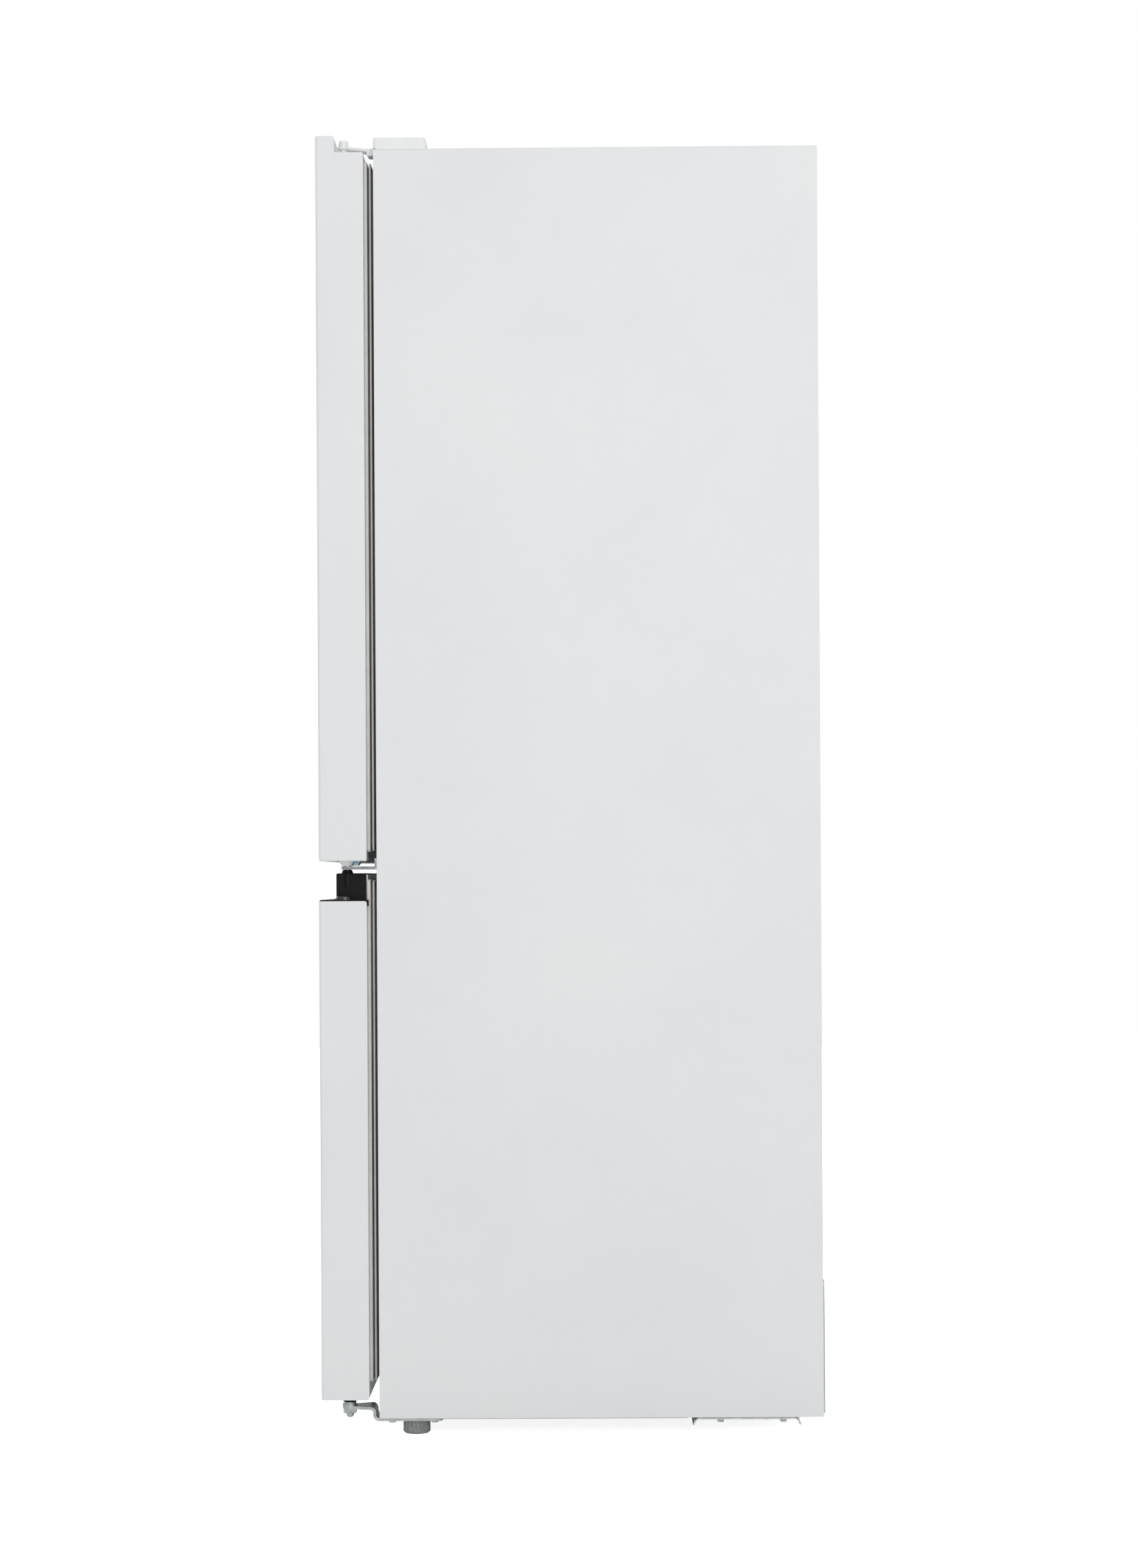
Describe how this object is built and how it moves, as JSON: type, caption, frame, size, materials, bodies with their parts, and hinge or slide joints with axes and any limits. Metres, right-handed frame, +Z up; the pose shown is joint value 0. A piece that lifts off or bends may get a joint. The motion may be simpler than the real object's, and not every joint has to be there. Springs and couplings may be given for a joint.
{
  "type": "bottom freezer refrigerator",
  "caption": "Tall free-standing two-door refrigerator: larger fresh-food door above, freezer door below, hinged on the right, recessed grip between them.",
  "frame": {"origin": "on the floor, under the middle of the object's bounding box", "axes": "+Z up, -Y towards the doors' fronts, +X towards the hinge side"},
  "size_m": [0.595, 0.666, 1.722],
  "materials": {
    "white_paint": "gloss",
    "grey_paint": "satin",
    "black_enamel": "satin",
    "zinc_plate": "satin",
    "white_plastic": "satin",
    "liner_plastic": "gloss",
    "black_plastic": "matte",
    "grey_plastic": "matte",
    "clear_plastic": "gloss",
    "shelf_glass": "gloss",
    "gasket_rubber": "matte",
    "black_rubber": "matte",
    "copper_tube": "satin",
    "aluminium_fin": "satin",
    "foam": "matte"
  },
  "bodies": {
    "cabinet": {"cabinet_shell": "white_paint", "back_panel": "grey_paint", "bottom_panel": "grey_paint", "mullion_rail": "white_paint", "fridge_liner": "liner_plastic", "freezer_liner": "liner_plastic", "cabinet_foam": "foam", "condenser_coil": "copper_tube", "compressor_base": "zinc_plate", "compressor_bolts": "zinc_plate", "compressor_grommets": "black_rubber", "compressor": "black_enamel", "relay_cover": "black_plastic", "drip_tray": "black_plastic", "refrigerant_tubes": "copper_tube", "rear_cover": "grey_paint", "cord_gland": "black_plastic", "rear_roller_brackets": "zinc_plate", "bottom_brackets": "zinc_plate", "hinge_pins": "zinc_plate", "middle_hinge_plate": "zinc_plate", "top_hinge_plate": "white_paint", "top_hinge_cover": "white_plastic", "screws": "zinc_plate", "glass_shelves": "shelf_glass", "shelf_trims": "white_plastic", "air_duct_panel": "liner_plastic", "control_housing": "liner_plastic", "light_lens": "clear_plastic", "evaporator_cover": "liner_plastic", "fan_motor": "grey_plastic", "evaporator_coil": "aluminium_fin"},
    "upper_door": {"upper_door_skin": "white_paint", "upper_door_top_cap": "white_plastic", "upper_door_bottom_cap": "white_plastic", "upper_door_stop": "zinc_plate", "upper_door_liner": "liner_plastic", "upper_door_foam": "foam", "upper_door_gasket": "gasket_rubber"},
    "lower_door": {"lower_door_skin": "white_paint", "lower_door_grip_rail": "black_plastic", "lower_door_bottom_cap": "white_plastic", "lower_door_bushes": "black_plastic", "lower_door_liner": "liner_plastic", "lower_door_foam": "foam", "lower_door_gasket": "gasket_rubber", "ledge_plugs": "black_plastic"},
    "bin_low": {"door_bin_low": "clear_plastic"},
    "bin_middle": {"door_bin_middle": "clear_plastic"},
    "bin_top": {"door_bin_top": "clear_plastic"},
    "crisper": {"crisper_drawer": "clear_plastic"},
    "drawer_top": {"freezer_drawer_top": "clear_plastic"},
    "drawer_middle": {"freezer_drawer_middle": "clear_plastic"},
    "drawer_bottom": {"freezer_drawer_bottom": "clear_plastic"},
    "knob": {"temperature_knob": "white_plastic"},
    "fan": {"evaporator_fan": "black_plastic"},
    "foot_left": {"levelling_foot_left": "grey_plastic"},
    "foot_right": {"levelling_foot_right": "grey_plastic"},
    "roller_left": {"rear_roller_left": "black_plastic"},
    "roller_right": {"rear_roller_right": "black_plastic"}
  },
  "joints": [
    {"name": "upper_door_hinge", "type": "hinge", "parent": "cabinet", "child": "upper_door", "pos_m": [0.2735, -0.297, 0.762], "axis": [0, 0, 1], "range_deg": [0, 120]},
    {"name": "lower_door_hinge", "type": "hinge", "parent": "cabinet", "child": "lower_door", "pos_m": [0.2735, -0.297, 0.049], "axis": [0, 0, 1], "range_deg": [0, 120]},
    {"name": "bin_low_lift", "type": "slide", "parent": "upper_door", "child": "bin_low", "axis": [0, 0, 1], "range_m": [0, 0.05]},
    {"name": "bin_middle_lift", "type": "slide", "parent": "upper_door", "child": "bin_middle", "axis": [0, 0, 1], "range_m": [0, 0.05]},
    {"name": "bin_top_lift", "type": "slide", "parent": "upper_door", "child": "bin_top", "axis": [0, 0, 1], "range_m": [0, 0.05]},
    {"name": "crisper_slide", "type": "slide", "parent": "cabinet", "child": "crisper", "axis": [0, -1, 0], "range_m": [0, 0.024]},
    {"name": "drawer_top_slide", "type": "slide", "parent": "cabinet", "child": "drawer_top", "axis": [0, -1, 0], "range_m": [0, 0.02]},
    {"name": "drawer_middle_slide", "type": "slide", "parent": "cabinet", "child": "drawer_middle", "axis": [0, -1, 0], "range_m": [0, 0.02]},
    {"name": "drawer_bottom_slide", "type": "slide", "parent": "cabinet", "child": "drawer_bottom", "axis": [0, -1, 0], "range_m": [0, 0.02]},
    {"name": "knob_turn", "type": "hinge", "parent": "cabinet", "child": "knob", "pos_m": [0.078, 0.015, 1.604], "axis": [0, 0, -1], "range_deg": [0, 270]},
    {"name": "fan_spin", "type": "hinge", "parent": "cabinet", "child": "fan", "pos_m": [0, 0.214, 0.6], "axis": [0, -1, 0], "continuous": true},
    {"name": "foot_left_screw", "type": "slide", "parent": "cabinet", "child": "foot_left", "axis": [0, 0, -1], "range_m": [-0.001, 0.015]},
    {"name": "foot_right_screw", "type": "slide", "parent": "cabinet", "child": "foot_right", "axis": [0, 0, -1], "range_m": [-0.001, 0.015]},
    {"name": "roller_left_spin", "type": "hinge", "parent": "cabinet", "child": "roller_left", "pos_m": [-0.178, 0.262, 0.014], "axis": [1, 0, 0], "continuous": true},
    {"name": "roller_right_spin", "type": "hinge", "parent": "cabinet", "child": "roller_right", "pos_m": [0.178, 0.262, 0.014], "axis": [1, 0, 0], "continuous": true}
  ]
}
